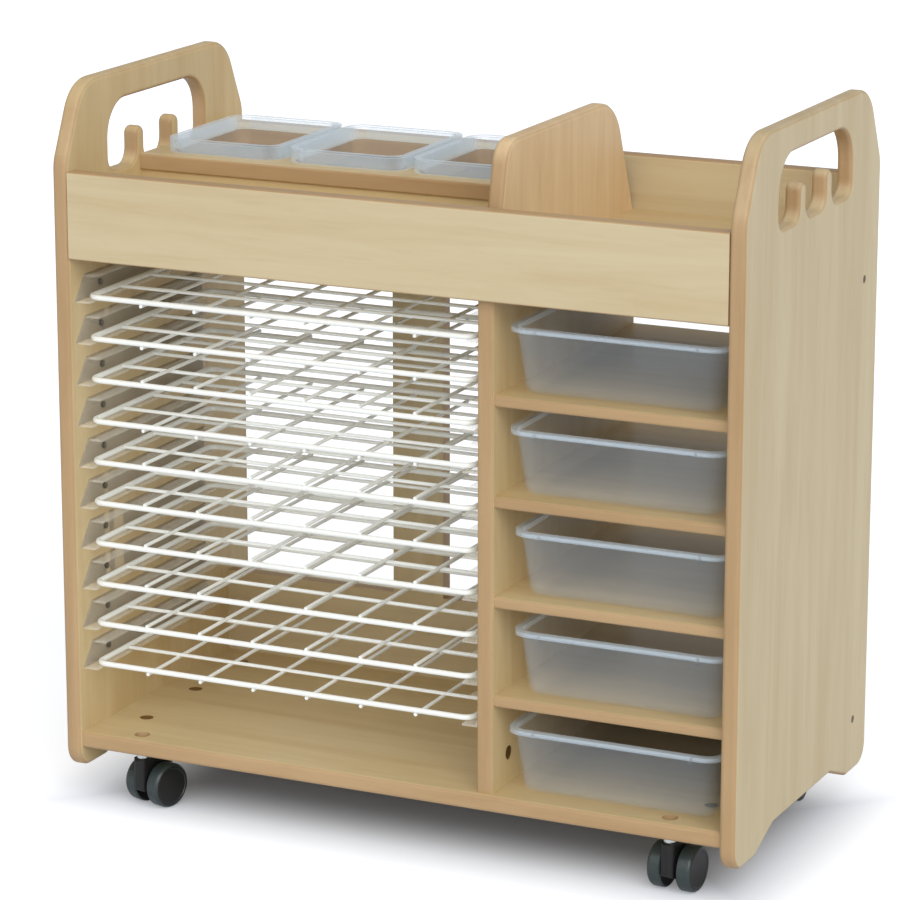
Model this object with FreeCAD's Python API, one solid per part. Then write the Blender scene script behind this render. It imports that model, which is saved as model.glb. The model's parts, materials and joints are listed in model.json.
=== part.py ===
import FreeCAD, Part
import math
import os

os.makedirs("parts", exist_ok=True)
Vec = FreeCAD.Vector

# Overall size and boards, millimetres
width = 790.0
depth = 400.0
height = 804.0
board = 18.0
edge_round = 2.5
panel_round = 5.0

# Clearances, and how far a cutting shape runs past the face it cuts
body_gap = 0.3
run_fit = 0.05
hole_clear = 0.2
cut_past = 1.0

# Frame
inner_x = width / 2 - board
base_bottom = 66.0
base_top = base_bottom + board
base_set_back = 5.0
base_half_depth = depth / 2 - base_set_back
base_round = 4.0
foot_bottom = 42.0
foot_flat = 60.0
foot_flat_inner = depth / 2 - foot_flat
foot_corner = 24.0
foot_inner_round = 10.0
arch_below_base = 4.0
arch_top = base_bottom - arch_below_base
arch_run = 53.0
arch_half = foot_flat_inner - arch_run
arch_round = 14.0
taper_drop = 83.0
taper_start = height - taper_drop
taper_angle = 25.0
top_corner = 48.0
shoulder_round = 40.0

# Hand hole of the side panels: three slots with two fingers of board between them
hand_margin = 92.0
hand_half = depth / 2 - hand_margin
finger_wide = 18.0
finger_radius = finger_wide / 2
slot_half = (hand_half - finger_wide) / 3
slot_pitch = 2 * slot_half + finger_wide
slot_corner = 16.0
slot_deep = 39.0
finger_drop = 68.0
finger_top = height - finger_drop
slot_low = finger_top - slot_deep
hand_corner = 40.0
hand_clear = 36.0
hand_top = finger_top + hand_clear

# Top compartments
fascia_drop = 92.5
fascia_tall = 95.0
fascia_top = height - fascia_drop
fascia_bottom = fascia_top - fascia_tall
fascia_set_in = 0.5
fascia_front = -depth / 2 + fascia_set_in
fascia_back = fascia_front + board
back_board_drop = 6.0
back_board_top = fascia_top - back_board_drop
deck_rise = 11.5
deck_bottom = fascia_bottom + deck_rise
deck_top = deck_bottom + board
upper_divider_rise = 64.0
upper_divider_top = fascia_top + upper_divider_rise
upper_front_run = 29.0
upper_back_run = 51.5
upper_front_round = 30.0
upper_back_round = 60.0

# Divider, tub column and back
column_wide = 260.0
divider_right = inner_x - column_wide
divider_left = divider_right - board
divider_mid = (divider_left + divider_right) / 2
bay_wide = inner_x + divider_left
bay_mid = (divider_left - inner_x) / 2
divider_set_back = 6.0
divider_front = -base_half_depth + divider_set_back
divider_back_in = 10.0
divider_back = base_half_depth - divider_back_in
back_set_in = 31.0
back_back = base_half_depth - back_set_in
back_front = back_back - board
rail_tall = 62.0
upper_rail_bottom = deck_bottom - rail_tall
batten_wide = 63.0
batten_shift = 9.5
batten_left = bay_mid + batten_shift - batten_wide / 2

# Shelves of the tub column
column_tubs = 5
column_top_room = 100.5
shelf_thick = 12.0
shelf_pitch = (fascia_bottom - column_top_room - base_top) / (column_tubs - 1)
shelf_set_back = 9.0
shelf_front = -base_half_depth + shelf_set_back
shelf_round = 3.0
lower_back_top = base_top + shelf_pitch - shelf_thick

# Tubs, both kinds
wall = 1.8
skirt_wall = 1.8
rim_thick = 2.2
foot_turn = 6.0
foot_mid_up = 2.2
foot_mid_turn = 1.8
foot_up = 7.0
foot_lean = 0.4
foot_corner_loss = 3.0
foot_mid_loss = 1.0
foot_flat_loss = 4.0
inner_corner_loss = 1.0
rib_wide = 3.6
rib_drop = 4.5
rib_from_corner = 9.0
rib_in = 1.0

# Column tubs
column_tub_side_gap = 8.0
column_tub_wide = column_wide - 2 * column_tub_side_gap
column_tub_set_back = 6.0
column_tub_front = shelf_front + column_tub_set_back
column_tub_back_gap = 16.0
column_tub_deep = back_front - column_tub_back_gap - column_tub_front
column_tub_air = 24.5
column_tub_tall = shelf_pitch - shelf_thick - column_tub_air
column_tub_overhang = 5.5
column_tub_taper = 8.5
column_tub_corner = 22.0
column_tub_skirt = 5.0
column_tub_push = 6.0
pushed_tubs = (3, 4)

# Top tubs and the raised shelf that they hang in
tub_shelf_top = back_board_top
tub_shelf_bottom = tub_shelf_top - board
top_tub_end_gap = 14.5
top_tub_between = 7.0
top_tub_pitch = (bay_wide - 2 * top_tub_end_gap) / 3
top_tub_wide = top_tub_pitch - top_tub_between
top_tub_deep = 172.0
top_tub_back_gap = 31.5
top_tub_front = -fascia_back - top_tub_back_gap - top_tub_deep
top_tub_stand = 15.5
top_tub_rim = tub_shelf_top + top_tub_stand
top_tub_floor_gap = 8.0
top_tub_tall = top_tub_rim - deck_top - top_tub_floor_gap
top_tub_skirt = top_tub_stand - body_gap
top_tub_overhang = 6.0
top_tub_taper = 8.0
top_tub_corner = 22.0
cut_out_clear = 1.0
tub_shelf_lip = 20.0
tub_shelf_front = top_tub_front - tub_shelf_lip
riser_set_back = 4.0
riser_front = tub_shelf_front + riser_set_back

# Wire racks
frame_wire = 6.0
inner_wire = 4.0
rack_side_gap = 11.0
rack_left = -inner_x + rack_side_gap
rack_right = divider_left - rack_side_gap
rack_set_back = 17.0
rack_front = -base_half_depth + rack_set_back
rack_back_gap = 57.0
rack_back = back_front - rack_back_gap
rack_count = 10
rack_top_drop = 43.6
rack_floor_room = 77.0
rack_top_z = fascia_bottom - rack_top_drop
rack_pitch = (rack_top_z - rack_floor_room - base_top) / (rack_count - 1)
rack_corner = 12.0
cross_wires = 3
long_wires = 6
cross_rise = 1.0
weld_sink = 0.6
wire_past = 2.0
flipped_racks = (3, 5, 6, 7, 8, 9)

# Runners and their screws
runner_tall = 27.5
runner_deep = 17.5
runner_wall = 2.0
runner_past_front = 10.0
runner_past_back = 5.0
runner_slant = 20.0
runner_lip_front = rack_front - runner_past_front
runner_roof_front = runner_lip_front + runner_slant
runner_back = rack_back + runner_past_back
screw_in = 50.0
screw_y = runner_lip_front + screw_in
screw_head = 7.0
screw_head_thick = 2.0
screw_shank = 3.5
screw_length = 12.0

# Casters: stems, wheels and hoods
stem_in_x = 64.0
stem_in_y = 21.0
stem_x = inner_x - stem_in_x
stem_y = base_half_depth - stem_in_y
wheel_radius = 25.0
wheel_wide = 16.5
wheel_gap = 1.4
trail = 20.0
collar_radius = 6.5
collar_tall = 8.0
pin_radius = 4.0
pin_length = 20.0
shank_radius = 5.0
shank_stand = 2.0
recess_radius = 8.5
recess_deep = 8.0
axle_radius = 3.0
axle_cover = 4.0
tread_chamfer = 1.5
tread_round = 4.5
disc_edge = 1.0
disc_radius = wheel_radius - tread_round - disc_edge
dish_deep = 0.6
hood_wide = 15.0
hood_front = -9.5
hood_behind = 22.0
hood_back = trail + hood_behind
hood_top = base_bottom - collar_tall - body_gap
hood_nose_low = 22.0
hood_nose_round = 5.0
hood_top_round = 3.0
hood_top_back = 18.0
hood_slope_in = 6.0
hood_slope_drop = 7.7
hood_back_low = 30.0
hood_keel = 12.0
hood_keel_rise = 2.0
hood_keel_front = 8.0
hood_keel_back = 4.0
hood_keel_round = 8.0
hood_round = 6.0
hood_front_round = 6.0
hood_back_round = 2.0
caster_turn = {"front_left": -17.0, "front_right": -4.0, "rear_left": 172.0, "rear_right": 186.0}

# Brake levers of the front casters
lever_hinge_in = 13.0
lever_hinge_y = hood_back - lever_hinge_in
lever_hinge_drop = 5.7
lever_hinge_z = hood_top - lever_hinge_drop
lever_trunnion = 2.0
lever_hub = 3.6
lever_slot = 10.0
lever_slot_clear = 1.5
lever_slot_drop = 9.0
lever_out = 13.0
lever_end = hood_back + lever_out
lever_pad = 10.0
lever_thick = 3.5
lever_pin_in = 0.5

# Cam fittings
cam_radius = 7.5
cam_deep = 12.5
cam_sink = 0.5
cam_in_x = 39.0
cam_x = inner_x - cam_in_x
cam_front_in = 75.0
cam_middle_y = -7.0
cam_back_in = 90.0
cam_rows = (-base_half_depth + cam_front_in, cam_middle_y, base_half_depth - cam_back_in)
divider_cam_front_in = 42.0
divider_cam_back_in = 46.0
divider_cam_rows = (divider_front + divider_cam_front_in, back_front - divider_cam_back_in)
divider_cam_rise = 34.0
divider_cam_z = base_top + divider_cam_rise
cam_bolt_radius = 3.0
cam_bolt_bite = 11.0

# Side bolts
bolt_y = back_front + board / 2
bolt_rise = 19.0
bolt_levels = (base_top + bolt_rise, deck_bottom - rail_tall / 2)
bolt_head_radius = 4.3
bolt_head_thick = 4.0
bolt_shank_radius = 2.5
bolt_bite = 32.0
bolt_end_gap = 1.0


def save(name, shape):
    if not shape.isValid():
        raise ValueError(name + " is not valid")
    shape.exportStep("parts/" + name + ".step")
    print(name, len(shape.Solids), "solid", round(shape.Volume))


def block(x0, x1, y0, y1, z0, z1):
    return Part.makeBox(x1 - x0, y1 - y0, z1 - z0, Vec(x0, y0, z0))


def rod(radius, start, end):
    along = end - start
    return Part.makeCylinder(radius, along.Length, start, along)


def round_wire(points, place):
    """Closed wire through points (a, b, radius), corners rounded, set in space by place."""
    count = len(points)
    pieces = []
    ends = []
    for i in range(count):
        before = points[i - 1]
        here = points[i]
        after = points[(i + 1) % count]
        radius = here[2]
        if radius <= 0:
            ends.append((here[:2], None, here[:2]))
            continue
        ua = (before[0] - here[0], before[1] - here[1])
        ub = (after[0] - here[0], after[1] - here[1])
        la = math.hypot(*ua)
        lb = math.hypot(*ub)
        ua = (ua[0] / la, ua[1] / la)
        ub = (ub[0] / lb, ub[1] / lb)
        half = math.acos(max(-1.0, min(1.0, ua[0] * ub[0] + ua[1] * ub[1]))) / 2
        back = radius / math.tan(half)
        start = (here[0] + ua[0] * back, here[1] + ua[1] * back)
        end = (here[0] + ub[0] * back, here[1] + ub[1] * back)
        bis = (ua[0] + ub[0], ua[1] + ub[1])
        size = math.hypot(*bis)
        reach = radius / math.sin(half) - radius
        middle = (here[0] + bis[0] / size * reach, here[1] + bis[1] / size * reach)
        ends.append((start, middle, end))
    for i in range(count):
        start, middle, end = ends[i]
        if middle is not None:
            pieces.append(Part.Arc(place(*start), place(*middle), place(*end)).toShape())
        following = ends[(i + 1) % count][0]
        if math.hypot(following[0] - end[0], following[1] - end[1]) > 1e-6:
            pieces.append(Part.makeLine(place(*end), place(*following)))
    return Part.Wire(pieces)


def side_profile(points, x0, thick):
    """Solid from a rounded outline in Y and Z, thick along X."""
    wire = round_wire(points, lambda a, b: Vec(x0, a, b))
    return Part.Face(wire).extrude(Vec(thick, 0, 0))


def soften(shape, radius, chosen):
    edges = [e for e in shape.Edges if chosen(e)]
    return shape.makeFillet(radius, edges)


def along_x(edge, y, z):
    box = edge.BoundBox
    near = abs(box.YMin - y) < 1e-3 and abs(box.YMax - y) < 1e-3
    level = abs(box.ZMin - z) < 1e-3 and abs(box.ZMax - z) < 1e-3
    return near and level and box.XLength > 20


def along_z(edge, y):
    box = edge.BoundBox
    return abs(box.YMin - y) < 1e-3 and abs(box.YMax - y) < 1e-3 and box.ZLength > 20 and box.XLength < 1e-3


def join(shapes):
    whole = shapes[0].fuse(shapes[1:])
    return whole.removeSplitter()


# Side panels
taper_run = (height - taper_start) * math.tan(math.radians(taper_angle))
half = depth / 2
panel_outline = [
    (-half, foot_bottom, foot_corner),
    (-half, taper_start, shoulder_round),
    (-half + taper_run, height, top_corner),
    (half - taper_run, height, top_corner),
    (half, taper_start, shoulder_round),
    (half, foot_bottom, foot_corner),
    (foot_flat_inner, foot_bottom, foot_inner_round),
    (arch_half, arch_top, arch_round),
    (-arch_half, arch_top, arch_round),
    (-foot_flat_inner, foot_bottom, foot_inner_round),
]


def hand_hole(x0, thick):
    outline = [
        (-hand_half, slot_low, slot_corner),
        (-hand_half, hand_top, hand_corner),
        (hand_half, hand_top, hand_corner),
        (hand_half, slot_low, slot_corner),
    ]
    for middle in (slot_pitch / 2, -slot_pitch / 2):
        outline += [
            (middle + finger_radius, slot_low, slot_corner),
            (middle + finger_radius, finger_top, finger_radius),
            (middle - finger_radius, finger_top, finger_radius),
            (middle - finger_radius, slot_low, slot_corner),
        ]
    return side_profile(outline, x0, thick)


rack_levels = [rack_top_z - rack_pitch * k for k in range(rack_count)]
lip_top = -(frame_wire / 2 + body_gap)
runner_low = lip_top - runner_wall
screw_rise = runner_low + runner_tall / 2


def side_panel(side):
    x0 = -width / 2 if side < 0 else inner_x
    shape = side_profile(panel_outline, x0, board).cut(hand_hole(x0, board))
    planes = (x0, x0 + board)

    def on_face(edge):
        box = edge.BoundBox
        return box.XLength < 1e-3 and min(abs(box.XMin - p) for p in planes) < 1e-3

    shape = soften(shape, panel_round, on_face)
    face = side * inner_x
    for y in cam_rows:
        z = (base_bottom + base_top) / 2
        shape = shape.cut(rod(cam_bolt_radius + hole_clear, Vec(face, y, z),
                              Vec(face + side * cam_bolt_bite, y, z)))
    outer = side * width / 2
    for z in bolt_levels:
        floor = outer - side * bolt_head_thick
        shape = shape.cut(rod(bolt_head_radius + hole_clear, Vec(outer, bolt_y, z), Vec(floor, bolt_y, z)))
        shape = shape.cut(rod(bolt_shank_radius + hole_clear, Vec(outer, bolt_y, z), Vec(face, bolt_y, z)))
    for level in rack_levels:
        if side > 0:
            break
        z = level + screw_rise
        shape = shape.cut(rod(screw_shank / 2 + hole_clear, Vec(face, screw_y, z),
                              Vec(face + side * screw_length, screw_y, z)))
    return shape


save("left_side_panel", side_panel(-1))
save("right_side_panel", side_panel(1))

# Base board with cam recesses, caster holes and bolt holes
base = block(-inner_x, inner_x, -base_half_depth, base_half_depth, base_bottom, base_top)
base = soften(base, base_round, lambda e: along_x(e, -base_half_depth, base_top)
              or along_x(e, -base_half_depth, base_bottom))
for side in (-1, 1):
    for y in cam_rows:
        spot = Vec(side * cam_x, y, base_top)
        base = base.cut(rod(cam_radius + hole_clear, Vec(spot.x, y, base_top - cam_deep), spot))
        z = (base_bottom + base_top) / 2
        base = base.cut(rod(cam_bolt_radius + hole_clear, Vec(side * inner_x, y, z), Vec(side * cam_x, y, z)))
    for end in (-1, 1):
        x = side * stem_x
        y = end * stem_y
        base = base.cut(rod(recess_radius, Vec(x, y, base_top - recess_deep), Vec(x, y, base_top)))
        base = base.cut(rod(shank_radius + hole_clear, Vec(x, y, base_bottom), Vec(x, y, base_top)))
for y in divider_cam_rows:
    base = base.cut(rod(cam_bolt_radius + hole_clear, Vec(divider_mid, y, base_top - cam_bolt_bite),
                        Vec(divider_mid, y, base_top)))
save("base_board", base)

# Deck, fascia and upper back board
save("deck_board", block(-inner_x, inner_x, fascia_back, -fascia_back, deck_bottom, deck_top))
fascia = block(-inner_x, inner_x, fascia_front, fascia_back, fascia_bottom, fascia_top)
fascia = soften(fascia, edge_round, lambda e: along_x(e, fascia_front, fascia_top)
                or along_x(e, fascia_front, fascia_bottom) or along_x(e, fascia_back, fascia_top))
save("front_fascia", fascia)
back = block(-inner_x, inner_x, -fascia_back, -fascia_front, fascia_bottom, back_board_top)
back = soften(back, edge_round, lambda e: along_x(e, -fascia_front, back_board_top)
              or along_x(e, -fascia_front, fascia_bottom) or along_x(e, -fascia_back, back_board_top))
save("upper_back_board", back)

# Lower divider, notched for the fascia, the upper back board and the two back boards
divider_outline = [
    (divider_front, base_top, 0),
    (divider_front, fascia_bottom, 0),
    (fascia_back, fascia_bottom, 0),
    (fascia_back, deck_bottom, 0),
    (back_front, deck_bottom, 0),
    (back_front, upper_rail_bottom, 0),
    (divider_back, upper_rail_bottom, 0),
    (divider_back, lower_back_top, 0),
    (back_front, lower_back_top, 0),
    (back_front, base_top, 0),
]
divider = side_profile(divider_outline, divider_left, board)
divider = soften(divider, edge_round, lambda e: along_z(e, divider_front))
for y in divider_cam_rows:
    divider = divider.cut(rod(cam_radius + hole_clear, Vec(divider_right - cam_deep, y, divider_cam_z),
                              Vec(divider_right, y, divider_cam_z)))
    divider = divider.cut(rod(cam_bolt_radius + hole_clear, Vec(divider_mid, y, base_top),
                              Vec(divider_mid, y, divider_cam_z)))
for level in rack_levels:
    z = level + screw_rise
    divider = divider.cut(rod(screw_shank / 2 + hole_clear, Vec(divider_left, screw_y, z),
                              Vec(divider_left + screw_length, screw_y, z)))
save("lower_divider", divider)

# Upper divider
upper_outline = [
    (fascia_back, deck_top, 0),
    (fascia_back + upper_front_run, upper_divider_top, upper_front_round),
    (-fascia_back - upper_back_run, upper_divider_top, upper_back_round),
    (-fascia_back, deck_top, 0),
]
upper = side_profile(upper_outline, divider_left, board)


def upper_rim(edge):
    box = edge.BoundBox
    return box.XLength < 1e-3 and box.ZMax > deck_top + cut_past


save("upper_divider", soften(upper, panel_round, upper_rim))

# Back panel, rail and batten
panel = block(-inner_x, inner_x, back_front, back_back, base_top, lower_back_top)
rail = block(-inner_x, inner_x, back_front, back_back, upper_rail_bottom, deck_bottom)
for side in (-1, 1):
    deep = side * (inner_x - bolt_bite)
    for z, name in zip(bolt_levels, ("panel", "rail")):
        hole = rod(bolt_shank_radius + hole_clear, Vec(side * inner_x, bolt_y, z), Vec(deep, bolt_y, z))
        if name == "panel":
            panel = panel.cut(hole)
        else:
            rail = rail.cut(hole)
save("lower_back_panel", panel)
save("upper_back_rail", rail)
batten = block(batten_left, batten_left + batten_wide, back_front, back_back,
               lower_back_top, upper_rail_bottom)
save("back_batten", batten)

# Shelves of the tub column
for k in range(1, column_tubs):
    top = base_top + shelf_pitch * (column_tubs - k)
    shelf = block(divider_right, inner_x, shelf_front, divider_back, top - shelf_thick, top)
    shelf = soften(shelf, shelf_round, lambda e: along_x(e, shelf_front, top)
                   or along_x(e, shelf_front, top - shelf_thick))
    save("shelf_%d" % k, shelf)


# Tubs
def rect(x0, x1, y0, y1, z, corner):
    points = [(x0, y0, corner), (x1, y0, corner), (x1, y1, corner), (x0, y1, corner)]
    return round_wire(points, lambda a, b: Vec(a, b, z))


def grown(frame, by, z, corner=None):
    x0, x1, y0, y1, own = frame
    return rect(x0 - by, x1 + by, y0 - by, y1 + by, z, own + by if corner is None else corner)


def tub(mid_x, front, wide, deep, low, tall, overhang, taper, corner, skirt, ribbed):
    """Open tub with tapered walls, a rounded foot and a turned-down rim."""
    top = low + tall
    left, right, back = mid_x - wide / 2, mid_x + wide / 2, front + deep
    rim = (left, right, front, back, corner)
    shell_corner = corner - overhang
    foot = shell_corner - foot_corner_loss
    lean = (taper - foot_lean) / (tall - foot_up)
    turns = (
        (0.0, taper + foot_turn, foot - foot_flat_loss),
        (foot_mid_up, taper + foot_mid_turn, foot - foot_mid_loss),
        (foot_up, taper - foot_lean, foot),
    )
    rings = [grown(rim, -overhang - s, low + z, r) for z, s, r in turns]
    rings.append(grown(rim, -overhang, top, shell_corner))
    outer = Part.makeLoft(rings, True, True)
    rings = [grown(rim, -overhang - wall - s, low + wall + z, r - inner_corner_loss) for z, s, r in turns]
    rings.append(grown(rim, -overhang - wall + lean * cut_past, top + cut_past, shell_corner - wall))
    inner = Part.makeLoft(rings, True, True)
    cap = Part.Face(grown(rim, 0.0, top - skirt)).extrude(Vec(0, 0, skirt))
    under = Part.Face(grown(rim, -skirt_wall, top - skirt - cut_past))
    under = under.extrude(Vec(0, 0, skirt + cut_past - rim_thick))
    pieces = [outer, cap.cut(under)]
    if ribbed:
        low_rib = top - skirt - rib_drop
        inset = corner + rib_from_corner
        for x in (left + inset, right - inset - rib_wide):
            pieces.append(block(x, x + rib_wide, front + rib_in, back - rib_in, low_rib, top - rim_thick))
        for y in (front + inset, back - inset - rib_wide):
            pieces.append(block(left + rib_in, right - rib_in, y, y + rib_wide, low_rib, top - rim_thick))
    return join(pieces).cut(inner).removeSplitter()


column_mid = (divider_right + inner_x) / 2
for k in range(1, column_tubs + 1):
    low = base_top + shelf_pitch * (column_tubs - k) + body_gap
    x = column_mid + (column_tub_push if k in pushed_tubs else 0.0)
    shape = tub(x, column_tub_front, column_tub_wide, column_tub_deep, low, column_tub_tall,
                column_tub_overhang, column_tub_taper, column_tub_corner, column_tub_skirt, True)
    save("column_tub_%d" % k, shape)

shelf_holes = []
for k, name in ((-1, "left"), (0, "middle"), (1, "right")):
    x = bay_mid + k * top_tub_pitch
    shape = tub(x, top_tub_front, top_tub_wide, top_tub_deep, top_tub_rim - top_tub_tall, top_tub_tall,
                top_tub_overhang, top_tub_taper, top_tub_corner, top_tub_skirt, False)
    save("top_tub_" + name, shape)
    rim = (x - top_tub_wide / 2, x + top_tub_wide / 2,
           top_tub_front, top_tub_front + top_tub_deep, top_tub_corner)
    hole = Part.Face(grown(rim, -top_tub_overhang + cut_out_clear, tub_shelf_bottom - cut_past))
    hole = hole.extrude(Vec(0, 0, board + 2 * cut_past))
    shelf_holes.append(hole)

tub_shelf = block(-inner_x, divider_left, tub_shelf_front, -fascia_back, tub_shelf_bottom, tub_shelf_top)
tub_shelf = soften(tub_shelf, edge_round, lambda e: along_x(e, tub_shelf_front, tub_shelf_top)
                   or along_x(e, tub_shelf_front, tub_shelf_bottom))
for hole in shelf_holes:
    tub_shelf = tub_shelf.cut(hole)
save("tub_shelf", tub_shelf)
riser = block(-inner_x, divider_left, riser_front, riser_front + board, deck_top, tub_shelf_bottom)
save("tub_shelf_riser", riser)


# Wire racks
def wire_prism(radius, start, end, sides=8):
    """Straight wire with a many-sided section."""
    along = (end - start).normalize()
    across = Vec(0, 0, 1).cross(along).normalize()
    up = along.cross(across)
    corners = []
    for i in range(sides):
        turn = 2 * math.pi * (i + 0.5) / sides
        corners.append(start + across * (radius * math.cos(turn)) + up * (radius * math.sin(turn)))
    face = Part.Face(Part.makePolygon(corners + corners[:1]))
    return face.extrude(end - start)


def rack(level, turned):
    up = 1.0 if turned else -1.0
    z = level
    outline = [
        (rack_left, rack_front, rack_corner),
        (rack_right, rack_front, rack_corner),
        (rack_right, rack_back, rack_corner),
        (rack_left, rack_back, rack_corner),
    ]
    path = round_wire(outline, lambda a, b: Vec(a, b, z))
    first = path.OrderedEdges[0]
    start = first.valueAt(first.FirstParameter)
    heading = first.tangentAt(first.FirstParameter)
    ring = Part.Wire(Part.makeCircle(frame_wire / 2, start, heading))
    frame = Part.Wire(path.OrderedEdges).makePipeShell([ring], True, False)
    wires = [frame]
    cross_z = z + up * cross_rise
    for k in range(1, cross_wires + 1):
        y = rack_front + (rack_back - rack_front) * k / (cross_wires + 1)
        wires.append(wire_prism(inner_wire / 2, Vec(rack_left, y, cross_z), Vec(rack_right, y, cross_z)))
    long_z = z + up * (frame_wire / 2 + inner_wire / 2 - weld_sink)
    for k in range(1, long_wires + 1):
        x = rack_left + (rack_right - rack_left) * k / (long_wires + 1)
        ends = (Vec(x, rack_front - wire_past, long_z), Vec(x, rack_back + wire_past, long_z))
        wires.append(wire_prism(inner_wire / 2, *ends))
    return join(wires)


for k in range(1, rack_count + 1):
    save("rack_%d" % k, rack(rack_levels[k - 1], k in flipped_racks))


# Runners and their screws
def runner(face, out, level):
    """One C section, open towards the rack, fixed to the face at X, reaching out along X."""
    low = level + runner_low
    high = low + runner_tall

    def span(a, b):
        return min(face + out * a, face + out * b), max(face + out * a, face + out * b)

    x0, x1 = span(0, runner_deep)
    shape = block(x0, x1, runner_lip_front, runner_back, low, high)
    h0, h1 = span(runner_wall, runner_deep + cut_past)
    shape = shape.cut(block(h0, h1, runner_lip_front - cut_past, runner_back + cut_past,
                            low + runner_wall, high - runner_wall))
    slant = [
        (runner_lip_front - cut_past, low + runner_wall, 0),
        (runner_lip_front, low + runner_wall, 0),
        (runner_roof_front, high, 0),
        (runner_roof_front, high + cut_past, 0),
        (runner_lip_front - cut_past, high + cut_past, 0),
    ]
    shape = shape.cut(side_profile(slant, x0 - cut_past, runner_deep + 2 * cut_past))
    z = low + runner_tall / 2
    hole = rod(screw_shank / 2 + hole_clear, Vec(face, screw_y, z), Vec(face + out * runner_wall, screw_y, z))
    return shape.cut(hole)


def runner_screw(face, out, level):
    z = level + screw_rise
    seat = face + out * runner_wall
    head = rod(screw_head / 2, Vec(seat, screw_y, z), Vec(seat + out * screw_head_thick, screw_y, z))
    shank = rod(screw_shank / 2, Vec(face - out * screw_length, screw_y, z), Vec(seat, screw_y, z))
    return head.fuse(shank).removeSplitter()


left_runners = [runner(-inner_x, 1, level) for level in rack_levels]
right_runners = [runner(divider_left, -1, level) for level in rack_levels]
save("runners_left", Part.makeCompound(left_runners))
save("runners_right", Part.makeCompound(right_runners))
screws = [runner_screw(-inner_x, 1, level) for level in rack_levels]
screws += [runner_screw(divider_left, -1, level) for level in rack_levels]
save("runner_screws", Part.makeCompound(screws))

# Casters: each is drawn with its stem on the Z axis and its wheels trailing towards +Y
pin_low = base_bottom - collar_tall - pin_length
wheel_inner = hood_wide / 2 + wheel_gap


def hood_shape(with_lever):
    outline = [
        (hood_front, hood_nose_low, hood_nose_round),
        (hood_front, hood_top, hood_top_round),
        (hood_top_back, hood_top, hood_round),
        (hood_back - hood_slope_in, hood_top - hood_slope_drop, hood_round),
        (hood_back, hood_back_low, hood_round),
        (trail + hood_keel_back, hood_keel, hood_keel_round),
        (hood_keel_front, hood_keel + hood_keel_rise, hood_round),
    ]
    edge = hood_wide / 2
    plan = [
        (-edge, hood_front, hood_front_round),
        (edge, hood_front, hood_front_round),
        (edge, hood_back, hood_back_round),
        (-edge, hood_back, hood_back_round),
    ]
    footprint = Part.Face(round_wire(plan, lambda a, b: Vec(a, b, 0)))
    shape = side_profile(outline, -edge, hood_wide).common(footprint.extrude(Vec(0, 0, base_bottom)))
    shape = shape.cut(rod(pin_radius + run_fit, Vec(0, 0, pin_low - body_gap), Vec(0, 0, base_bottom)))
    shape = shape.cut(rod(axle_radius + run_fit, Vec(-hood_wide, trail, wheel_radius),
                          Vec(hood_wide, trail, wheel_radius)))
    if with_lever:
        slot_front = lever_hinge_y - lever_hub - lever_slot_clear
        slot = block(-lever_slot / 2, lever_slot / 2, slot_front, lever_end,
                     lever_hinge_z - lever_slot_drop, base_bottom)
        shape = shape.cut(slot)
        shape = shape.cut(rod(lever_trunnion + run_fit, Vec(-hood_wide, lever_hinge_y, lever_hinge_z),
                              Vec(hood_wide, lever_hinge_y, lever_hinge_z)))
    return shape


def lever_shape():
    half_hub = lever_slot / 2 - body_gap
    hub = rod(lever_hub, Vec(-half_hub, lever_hinge_y, lever_hinge_z),
              Vec(half_hub, lever_hinge_y, lever_hinge_z))
    reach = hood_wide / 2 - lever_pin_in
    pins = rod(lever_trunnion, Vec(-reach, lever_hinge_y, lever_hinge_z),
               Vec(reach, lever_hinge_y, lever_hinge_z))
    low = lever_hinge_z + lever_hub - lever_thick
    tongue = block(-half_hub, half_hub, lever_hinge_y, lever_end, low, low + lever_thick)
    wide = block(-hood_wide / 2, hood_wide / 2, lever_end - lever_pad, lever_end, low, low + lever_thick)
    return join([hub, pins, tongue, wide])


def wheel_shape(side):
    """Wheel with a blind bore for the axle, a rounded tread and a dished outer disc."""
    inner = wheel_inner
    outer = wheel_inner + wheel_wide
    bore = axle_radius + run_fit
    points = [
        (inner, bore, 0),
        (inner, wheel_radius - tread_chamfer, 0),
        (inner + tread_chamfer, wheel_radius, 0),
        (outer, wheel_radius, tread_round),
        (outer, disc_radius + dish_deep, 0),
        (outer - dish_deep, disc_radius, 0),
        (outer - dish_deep, 0, 0),
        (outer - axle_cover + body_gap, 0, 0),
        (outer - axle_cover + body_gap, bore, 0),
    ]
    wire = round_wire(points, lambda a, b: Vec(side * a, trail, wheel_radius + b))
    return Part.Face(wire).revolve(Vec(0, trail, wheel_radius), Vec(1, 0, 0), 360)


def stem_shape():
    collar = rod(collar_radius, Vec(0, 0, base_bottom - collar_tall), Vec(0, 0, base_bottom))
    shank = rod(shank_radius, Vec(0, 0, base_bottom), Vec(0, 0, base_top - recess_deep + shank_stand))
    pin = rod(pin_radius, Vec(0, 0, pin_low), Vec(0, 0, base_bottom - collar_tall))
    return join([collar, shank, pin])


def placed(shape, place):
    x = stem_x if place.endswith("right") else -stem_x
    y = stem_y if place.startswith("rear") else -stem_y
    turned = shape.copy()
    turned.rotate(Vec(0, 0, 0), Vec(0, 0, 1), caster_turn[place])
    turned.translate(Vec(x, y, 0))
    return turned


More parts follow.
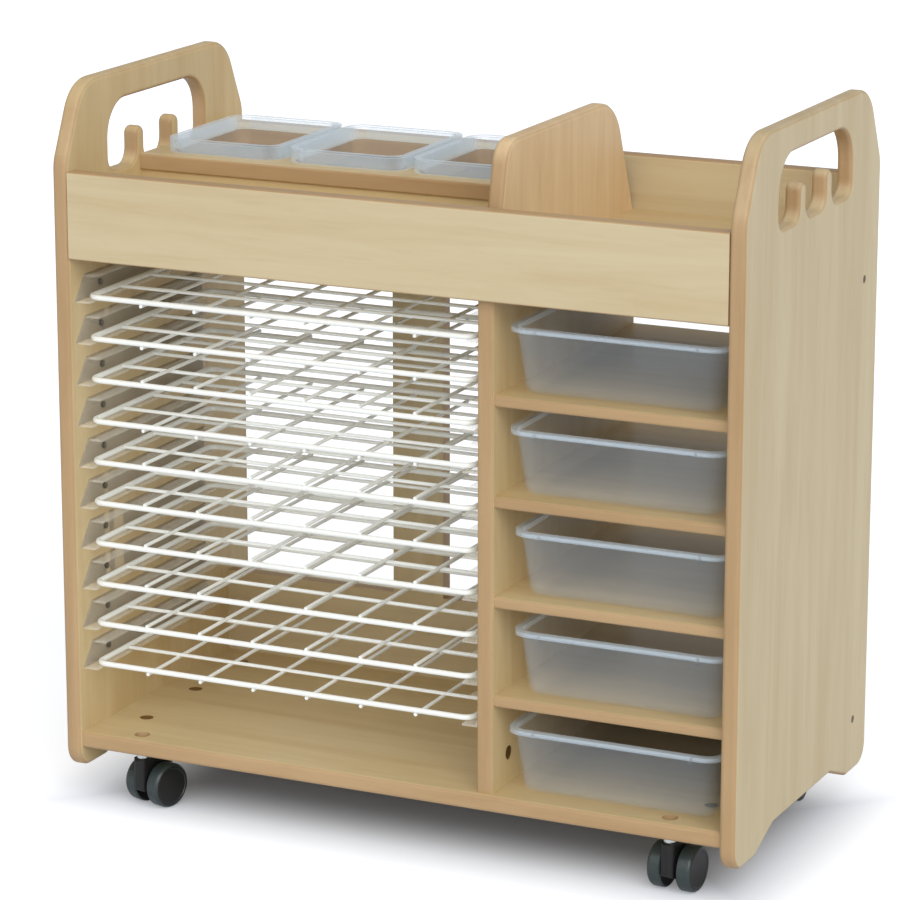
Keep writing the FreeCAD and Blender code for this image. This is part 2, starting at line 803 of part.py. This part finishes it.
stems = []
axle_half = wheel_inner + wheel_wide - axle_cover
for place in ("front_left", "front_right", "rear_left", "rear_right"):
    braked = place.startswith("front")
    save("caster_hood_" + place, placed(hood_shape(braked), place))
    axle = rod(axle_radius, Vec(-axle_half, trail, wheel_radius), Vec(axle_half, trail, wheel_radius))
    save("caster_axle_" + place, placed(axle, place))
    save("wheel_%s_a" % place, placed(wheel_shape(-1), place))
    save("wheel_%s_b" % place, placed(wheel_shape(1), place))
    if braked:
        save("brake_lever_" + place, placed(lever_shape(), place))
    stems.append(placed(stem_shape(), place))
save("caster_stems", Part.makeCompound(stems))

# Cam discs, their bolts and the side bolts
cams = []
cam_bolts = []
for side in (-1, 1):
    for y in cam_rows:
        z = (base_bottom + base_top) / 2
        cams.append(rod(cam_radius, Vec(side * cam_x, y, base_top - cam_deep),
                        Vec(side * cam_x, y, base_top - cam_sink)))
        end = side * (cam_x + cam_radius + body_gap)
        cam_bolts.append(rod(cam_bolt_radius, Vec(end, y, z), Vec(side * (inner_x + cam_bolt_bite), y, z)))
for y in divider_cam_rows:
    cams.append(rod(cam_radius, Vec(divider_right - cam_deep, y, divider_cam_z),
                    Vec(divider_right - cam_sink, y, divider_cam_z)))
    cam_bolts.append(rod(cam_bolt_radius, Vec(divider_mid, y, base_top - cam_bolt_bite),
                         Vec(divider_mid, y, divider_cam_z - cam_radius - body_gap)))
save("cam_locks", Part.makeCompound(cams))
save("cam_bolts", Part.makeCompound(cam_bolts))

bolts = []
for side in (-1, 1):
    for z in bolt_levels:
        outer = side * (width / 2 - body_gap)
        seat = side * (width / 2 - bolt_head_thick)
        tip = side * (inner_x - bolt_bite + bolt_end_gap)
        head = rod(bolt_head_radius, Vec(outer, bolt_y, z), Vec(seat, bolt_y, z))
        shank = rod(bolt_shank_radius, Vec(seat, bolt_y, z), Vec(tip, bolt_y, z))
        bolts.append(join([head, shank]))
save("side_bolts", Part.makeCompound(bolts))
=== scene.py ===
import bpy
import json
import math
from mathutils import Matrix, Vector

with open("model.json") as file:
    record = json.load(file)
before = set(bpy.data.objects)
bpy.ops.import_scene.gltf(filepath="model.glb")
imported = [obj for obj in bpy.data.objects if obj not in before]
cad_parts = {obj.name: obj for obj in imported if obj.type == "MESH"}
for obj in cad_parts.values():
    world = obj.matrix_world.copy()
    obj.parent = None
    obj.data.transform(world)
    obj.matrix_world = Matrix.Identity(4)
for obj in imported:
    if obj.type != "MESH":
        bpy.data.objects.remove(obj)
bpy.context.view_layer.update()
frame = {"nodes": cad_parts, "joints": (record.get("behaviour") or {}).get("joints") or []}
nodes = frame["nodes"]
print("stage 1, frame loaded:", len(nodes), "nodes")


def paint(red, green, blue):
    # screen colour 0 to 255 made linear for the shader
    def linear(value):
        v = value / 255.0
        return v / 12.92 if v <= 0.04045 else ((v + 0.055) / 1.055) ** 2.4
    return (linear(red), linear(green), linear(blue), 1.0)


def newMaterial(name, roughness):
    material = bpy.data.materials.new(name)
    material.use_nodes = True
    shader = material.node_tree.nodes["Principled BSDF"]
    shader.inputs["Roughness"].default_value = roughness
    return material, shader


def addNode(tree, kind, **values):
    node = tree.nodes.new(kind)
    for key, value in values.items():
        setattr(node, key, value)
    return node


def feed(tree, socket, value):
    # another node's output is linked, a plain value is set
    if isinstance(value, bpy.types.NodeSocket):
        tree.links.new(value, socket)
    else:
        socket.default_value = value


def addMath(tree, operation, *values):
    node = addNode(tree, "ShaderNodeMath", operation=operation)
    for socket, value in zip(node.inputs, values):
        feed(tree, socket, value)
    return node.outputs[0]


def addRange(tree, value, fromLow, fromHigh, toLow=0.0, toHigh=1.0, blend="LINEAR"):
    node = addNode(tree, "ShaderNodeMapRange", interpolation_type=blend)
    ends = {"From Min": fromLow, "From Max": fromHigh, "To Min": toLow, "To Max": toHigh}
    for key, end in ends.items():
        node.inputs[key].default_value = end
    tree.links.new(value, node.inputs["Value"])
    return node.outputs["Result"]


# where the Mix node keeps its two inputs and its result, for colours and for plain values
mixSockets = {"RGBA": (6, 7, 2), "FLOAT": (2, 3, 0)}


def addMix(tree, kind, factor, first, second):
    mix = addNode(tree, "ShaderNodeMix", data_type=kind)
    firstPlace, secondPlace, resultPlace = mixSockets[kind]
    tree.links.new(factor, mix.inputs["Factor"])
    feed(tree, mix.inputs[firstPlace], first)
    feed(tree, mix.inputs[secondPlace], second)
    return mix.outputs[resultPlace]


def addObjectPlace(tree):
    # a point's X, Y and Z in the piece's own coordinates
    place = addNode(tree, "ShaderNodeTexCoord")
    parts = addNode(tree, "ShaderNodeSeparateXYZ")
    tree.links.new(place.outputs["Object"], parts.inputs[0])
    return parts.outputs


def wear(names, material):
    for name in names:
        mesh = nodes[name].data
        mesh.materials.clear()
        mesh.materials.append(material)


grainLook = {
    "Streak": {"Scale": 1.0, "Detail": 5.0, "Roughness": 0.6, "Distortion": 0.6},
    "Fleck": {"Scale": 7.0, "Detail": 3.0},
    "ranges": {"Streak": (0.36, 0.66), "Fleck": (0.55, 0.75)},
}


# Shared effect: soft streaks and small flecks that run along a board's grain
def makeGrainGroup():
    group = bpy.data.node_groups.new("mapleGrain", "ShaderNodeTree")
    group.interface.new_socket("Stretch", in_out="INPUT", socket_type="NodeSocketVector")
    group.interface.new_socket("Streak", in_out="OUTPUT", socket_type="NodeSocketFloat")
    group.interface.new_socket("Fleck", in_out="OUTPUT", socket_type="NodeSocketFloat")
    entry = addNode(group, "NodeGroupInput")
    leave = addNode(group, "NodeGroupOutput")
    place = addNode(group, "ShaderNodeTexCoord")
    stretch = addNode(group, "ShaderNodeVectorMath", operation="MULTIPLY")
    group.links.new(place.outputs["Object"], stretch.inputs[0])
    group.links.new(entry.outputs["Stretch"], stretch.inputs[1])
    for effect, ends in grainLook["ranges"].items():
        noise = addNode(group, "ShaderNodeTexNoise")
        for key, value in grainLook[effect].items():
            noise.inputs[key].default_value = value
        group.links.new(stretch.outputs[0], noise.inputs["Vector"])
        mask = addRange(group, noise.outputs["Fac"], *ends)
        group.links.new(mask, leave.inputs[effect])
    return group


# how squarely a surface has to face across the board, or up, before its mask starts and is full
faceLook = {"Face": (0.80, 0.97), "Up": (0.15, 0.85)}


# Shared effect: Face is 1 on a board's broad faces and 0 round its edges, Up is 1 where it faces up,
# which sets where the maple paints light onto upward edges
def makeFaceGroup():
    group = bpy.data.node_groups.new("boardFace", "ShaderNodeTree")
    group.interface.new_socket("Across", in_out="INPUT", socket_type="NodeSocketVector")
    group.interface.new_socket("Face", in_out="OUTPUT", socket_type="NodeSocketFloat")
    group.interface.new_socket("Up", in_out="OUTPUT", socket_type="NodeSocketFloat")
    entry = addNode(group, "NodeGroupInput")
    leave = addNode(group, "NodeGroupOutput")
    surface = addNode(group, "ShaderNodeNewGeometry")
    turn = addNode(group, "ShaderNodeVectorTransform", vector_type="NORMAL",
                   convert_from="WORLD", convert_to="OBJECT")
    group.links.new(surface.outputs["Normal"], turn.inputs[0])
    across = addNode(group, "ShaderNodeVectorMath", operation="DOT_PRODUCT")
    group.links.new(turn.outputs[0], across.inputs[0])
    group.links.new(entry.outputs["Across"], across.inputs[1])
    squareness = addMath(group, "ABSOLUTE", across.outputs["Value"])
    parts = addNode(group, "ShaderNodeSeparateXYZ")
    group.links.new(turn.outputs[0], parts.inputs[0])
    for effect, value in (("Face", squareness), ("Up", parts.outputs["Z"])):
        mask = addRange(group, value, *faceLook[effect], blend="SMOOTHSTEP")
        group.links.new(mask, leave.inputs[effect])
    return group


grainGroup = makeGrainGroup()
faceGroup = makeFaceGroup()

# each tone is a colour and its streak; the two grain values are noise steps a metre
mapleLook = {
    "pale": (paint(209, 193, 157), paint(200, 180, 141)),
    # the warm tone on boards seen inside the trolley is partly their own tone, partly painted bounce
    # light
    "warm": (paint(214, 192, 147), paint(203, 177, 129)),
    # the upper divider's lighter tone is painted light, for the stronger light that falls on it
    "fair": (paint(232, 205, 163), paint(220, 188, 143)),
    # the edge tone is darker than the faces: partly the edges' own colour, partly painted shade
    "edge": (paint(188, 157, 117), paint(173, 141, 101)),
    "fleck": paint(182, 156, 114),
    "fleckAmount": 0.16,
    "roughness": 0.42,
    "specular": 0.35,
    "acrossGrain": 26.0,
    "alongGrain": 2.2,
}
axes = {"x": (1, 0, 0), "y": (0, 1, 0), "z": (0, 0, 1)}


def makeMaple(across, along, tone, paintedTopLight):
    look = mapleLook
    name = "maple_%s_face_%s_grain_%s" % (across, along, tone)
    material, shader = newMaterial(name, look["roughness"])
    shader.inputs["Specular IOR Level"].default_value = look["specular"]
    tree = material.node_tree
    grain = addNode(tree, "ShaderNodeGroup", node_tree=grainGroup)
    stretch = [look["acrossGrain"]] * 3
    stretch["xyz".index(along)] = look["alongGrain"]
    grain.inputs["Stretch"].default_value = stretch
    face = addNode(tree, "ShaderNodeGroup", node_tree=faceGroup)
    face.inputs["Across"].default_value = axes[across]
    faceColour = addMix(tree, "RGBA", grain.outputs["Streak"], *look[tone])
    edgeColour = addMix(tree, "RGBA", grain.outputs["Streak"], *look["edge"])
    # painted light: edges that face up take on the face's lighter colour
    paintedTopLightMask = addMath(tree, "MULTIPLY", face.outputs["Up"], paintedTopLight)
    edgeColour = addMix(tree, "RGBA", paintedTopLightMask, edgeColour, faceColour)
    board = addMix(tree, "RGBA", face.outputs["Face"], edgeColour, faceColour)
    amount = addMath(tree, "MULTIPLY", grain.outputs["Fleck"], look["fleckAmount"])
    colour = addMix(tree, "RGBA", amount, board, look["fleck"])
    tree.links.new(colour, shader.inputs["Base Color"])
    return material


shelves = ["shelf_%d" % k for k in range(1, 5)]
# face direction, grain direction, tone, and how far an edge that faces up takes the face's colour as
# painted light
boards = {
    ("x", "z", "pale", 0.75): ["right_side_panel"],
    ("x", "z", "warm", 0.75): ["left_side_panel", "lower_divider"],
    ("x", "z", "fair", 0.75): ["upper_divider"],
    ("y", "x", "pale", 0.0): ["front_fascia", "upper_back_board", "lower_back_panel", "upper_back_rail"],
    ("y", "x", "warm", 0.0): ["tub_shelf_riser"],
    ("y", "z", "pale", 0.0): ["back_batten"],
    ("z", "x", "warm", 0.0): ["base_board", "deck_board", "tub_shelf"] + shelves,
}
for (across, along, tone, paintedTopLight), names in boards.items():
    wear(names, makeMaple(across, along, tone, paintedTopLight))
print("stage 2, maple boards painted")


def makePlain(name, colour, roughness, metallic=0.0):
    material, shader = newMaterial(name, roughness)
    shader.inputs["Base Color"].default_value = colour
    shader.inputs["Metallic"].default_value = metallic
    return material


racks = ["rack_%d" % k for k in range(1, 11)]
wireLook = {"colour": paint(247, 249, 244), "roughness": 0.32}
wear(racks, makePlain("whiteWire", wireLook["colour"], wireLook["roughness"]))


# Thin plastic lets light on through, so it covers what is behind it but casts no shadow
def coverWithoutShadow(tree, shader, cover):
    path = addNode(tree, "ShaderNodeLightPath")
    lit = addMath(tree, "SUBTRACT", 1.0, path.outputs["Is Shadow Ray"])
    tree.links.new(addMath(tree, "MULTIPLY", lit, cover), shader.inputs["Alpha"])


runnerLook = {"colour": paint(252, 249, 238), "roughness": 0.38, "cover": 0.24}


def makeRunnerPlastic():
    # milky plastic that lets most of the board behind it show
    material, shader = newMaterial("milkyRunner", runnerLook["roughness"])
    shader.inputs["Base Color"].default_value = runnerLook["colour"]
    coverWithoutShadow(material.node_tree, shader, runnerLook["cover"])
    return material


wear(["runners_left", "runners_right"], makeRunnerPlastic())

# haze is how much a wall covers, face on and edge on
tubLook = {
    "colour": paint(222, 236, 247),
    "roughness": 0.12,
    "haze": (0.06, 0.13),
    "edgeBlend": 0.35,
    "rimBlur": 0.0004,
}
# how far the rim's skirt reaches down, and the rim's haze, partly its own and partly a painted highlight
tubRims = {"column_tub_": (0.0056, (0.2, 0.5)), "top_tub_": (0.0155, (0.1, 0.85))}


def makeTubPlastic(name, rimDrop, rimHazeAndHighlight):
    # hazy clear plastic, see-through face on, whiter where a wall is seen edge on, and whiter round the
    # rim, partly the rim's own haze and partly a painted highlight
    look = tubLook
    material, shader = newMaterial("clear_" + name, look["roughness"])
    shader.inputs["Base Color"].default_value = look["colour"]
    tree = material.node_tree
    slope = addNode(tree, "ShaderNodeLayerWeight")
    slope.inputs["Blend"].default_value = look["edgeBlend"]
    wallCover = addRange(tree, slope.outputs["Facing"], 0.0, 1.0, *look["haze"])
    rimCoverAndHighlight = addRange(tree, slope.outputs["Facing"], 0.0, 1.0, *rimHazeAndHighlight)
    rimFoot = max(corner[2] for corner in nodes[name].bound_box) - rimDrop
    height = addObjectPlace(tree)["Z"]
    onRim = addRange(tree, height, rimFoot - look["rimBlur"], rimFoot + look["rimBlur"])
    coverWithoutShadow(tree, shader, addMix(tree, "FLOAT", onRim, wallCover, rimCoverAndHighlight))
    return material


tubs = ["column_tub_%d" % k for k in range(1, 6)]
tubs += ["top_tub_left", "top_tub_middle", "top_tub_right"]
for name in tubs:
    kind = next(k for k in tubRims if name.startswith(k))
    wear([name], makeTubPlastic(name, *tubRims[kind]))

corners = ("front_left", "front_right", "rear_left", "rear_right")
hoods = ["caster_hood_" + corner for corner in corners]
levers = ["brake_lever_front_left", "brake_lever_front_right"]
hoodLook = {"colour": paint(16, 16, 16), "roughness": 0.48}
wear(hoods + levers, makePlain("hoodBlack", hoodLook["colour"], hoodLook["roughness"]))

wheelLook = {"tread": paint(52, 62, 62), "disc": paint(26, 25, 23), "roughness": 0.28}


def makeWheel(corner):
    # tread grey round the rim, darker on the flat outer disc
    spin = next(j for j in frame["joints"] if j["name"] == corner + "_wheel_a_spin")
    material, shader = newMaterial("wheel_" + corner, wheelLook["roughness"])
    tree = material.node_tree
    face = addNode(tree, "ShaderNodeGroup", node_tree=faceGroup)
    face.inputs["Across"].default_value = spin["axis"]
    colour = addMix(tree, "RGBA", face.outputs["Face"], wheelLook["tread"], wheelLook["disc"])
    tree.links.new(colour, shader.inputs["Base Color"])
    return material


for corner in corners:
    wear(["wheel_%s_a" % corner, "wheel_%s_b" % corner], makeWheel(corner))

# colour, roughness, metallic and the nodes of each fitting
fittings = {
    "axleSteel": (paint(170, 172, 174), 0.3, 1.0, ["caster_axle_" + corner for corner in corners]),
    "brightZinc": (paint(226, 232, 230), 0.28, 1.0, ["caster_stems"]),
    # the screws' zinc is darkened as painted shade, for the shade inside the runners' channels
    "screwZinc": (paint(120, 115, 105), 0.35, 1.0, ["runner_screws"]),
    "camZinc": (paint(160, 130, 82), 0.3, 1.0, ["cam_locks", "cam_bolts"]),
    "darkBolt": (paint(92, 84, 70), 0.45, 0.0, ["side_bolts"]),
}
for name, (colour, roughness, metallic, names) in fittings.items():
    wear(names, makePlain(name, colour, roughness, metallic))
print("stage 3, racks, tubs and casters painted")

# Studio: pale floor with a painted shadow under the trolley, even sky, a soft key from the front right
# and a fill from the front
studio = {
    "floorSize": 60.0,
    "floorRoughness": 0.9,
    "floorColour": paint(240, 244, 251),
    # painted shadow: the floor's colour under the trolley
    "paintedShadowColour": paint(182, 189, 206),
    "floorGlow": 0.45,
    "shadowHalf": (0.28, 0.06),
    "shadowFade": 0.2,
    "sky": 0.45,
    "skySeen": 1.0,
}
# power, then turn from the front, height over the floor and softness in degrees
suns = {"key": (1.5, 45.0, 32.0, 50.0), "fill": (0.7, -5.0, 30.0, 60.0)}
white = (1, 1, 1, 1)


def makeFloor():
    # pale, with a cooler, darker painted shadow under the trolley
    bpy.ops.object.select_all(action="DESELECT")
    bpy.ops.mesh.primitive_plane_add(size=studio["floorSize"])
    floor = bpy.context.object
    floor.name = "studioFloor"
    material, shader = newMaterial("studioFloor", studio["floorRoughness"])
    shader.inputs["Specular IOR Level"].default_value = 0.0
    shader.inputs["Emission Color"].default_value = white
    tree = material.node_tree
    place = addObjectPlace(tree)
    past = []
    for axis, half in zip("XY", studio["shadowHalf"]):
        away = addMath(tree, "ABSOLUTE", place[axis])
        past.append(addMath(tree, "SUBTRACT", away, half))
    outsidePaintedShadow = addRange(tree, addMath(tree, "MAXIMUM", *past), 0.0, studio["shadowFade"], blend="SMOOTHSTEP")
    colour = addMix(tree, "RGBA", outsidePaintedShadow, studio["paintedShadowColour"], studio["floorColour"])
    tree.links.new(colour, shader.inputs["Base Color"])
    # only the camera sees the glow, so it lights nothing; the glow fades out under the trolley, which
    # deepens the painted shadow
    path = addNode(tree, "ShaderNodeLightPath")
    seen = addMath(tree, "MULTIPLY", path.outputs["Is Camera Ray"], outsidePaintedShadow)
    glow = addMath(tree, "MULTIPLY", seen, studio["floorGlow"])
    tree.links.new(glow, shader.inputs["Emission Strength"])
    floor.data.materials.append(material)


def makeSky():
    # even and dim for the light it gives, white where the camera looks straight at it
    world = bpy.data.worlds.new("studioSky")
    bpy.context.scene.world = world
    world.use_nodes = True
    tree = world.node_tree
    back = tree.nodes["Background"]
    back.inputs["Color"].default_value = white
    path = addNode(tree, "ShaderNodeLightPath")
    strength = addRange(tree, path.outputs["Is Camera Ray"], 0.0, 1.0, studio["sky"], studio["skySeen"])
    tree.links.new(strength, back.inputs["Strength"])


def directionTo(turn, height):
    # unit vector towards a place at this turn from the front and height over the floor, in degrees
    a, e = math.radians(turn), math.radians(height)
    return Vector((math.sin(a) * math.cos(e), -math.cos(a) * math.cos(e), math.sin(e)))


def makeSun(name, power, turn, height, soft):
    data = bpy.data.lights.new(name, "SUN")
    data.energy = power
    data.angle = math.radians(soft)
    lamp = bpy.data.objects.new(name, data)
    bpy.context.scene.collection.objects.link(lamp)
    lamp.rotation_euler = directionTo(turn, height).to_track_quat("Z", "Y").to_euler()


makeFloor()
makeSky()
for name, settings in suns.items():
    makeSun(name, *settings)

# Camera at the photograph's viewing angle, its focal length in pixels of a frame that many wide
view = {
    "turn": 25.19,
    "height": 14.7,
    "distance": 4.33538,
    "target": (-0.02077, 0.0, 0.39901),
    "focalPixels": 3982.61,
    "framePixels": 900.0,
    "sensorWidth": 36.0,
}


def makeCamera():
    data = bpy.data.cameras.new("photoCamera")
    data.sensor_width = view["sensorWidth"]
    data.lens = view["focalPixels"] / view["framePixels"] * data.sensor_width
    camera = bpy.data.objects.new("photoCamera", data)
    bpy.context.scene.collection.objects.link(camera)
    away = directionTo(view["turn"], view["height"])
    camera.location = Vector(view["target"]) + away * view["distance"]
    camera.rotation_euler = away.to_track_quat("Z", "Y").to_euler()
    bpy.context.scene.camera = camera


makeCamera()
bpy.context.scene.view_settings.view_transform = "Standard"
print("stage 4, studio and camera set")
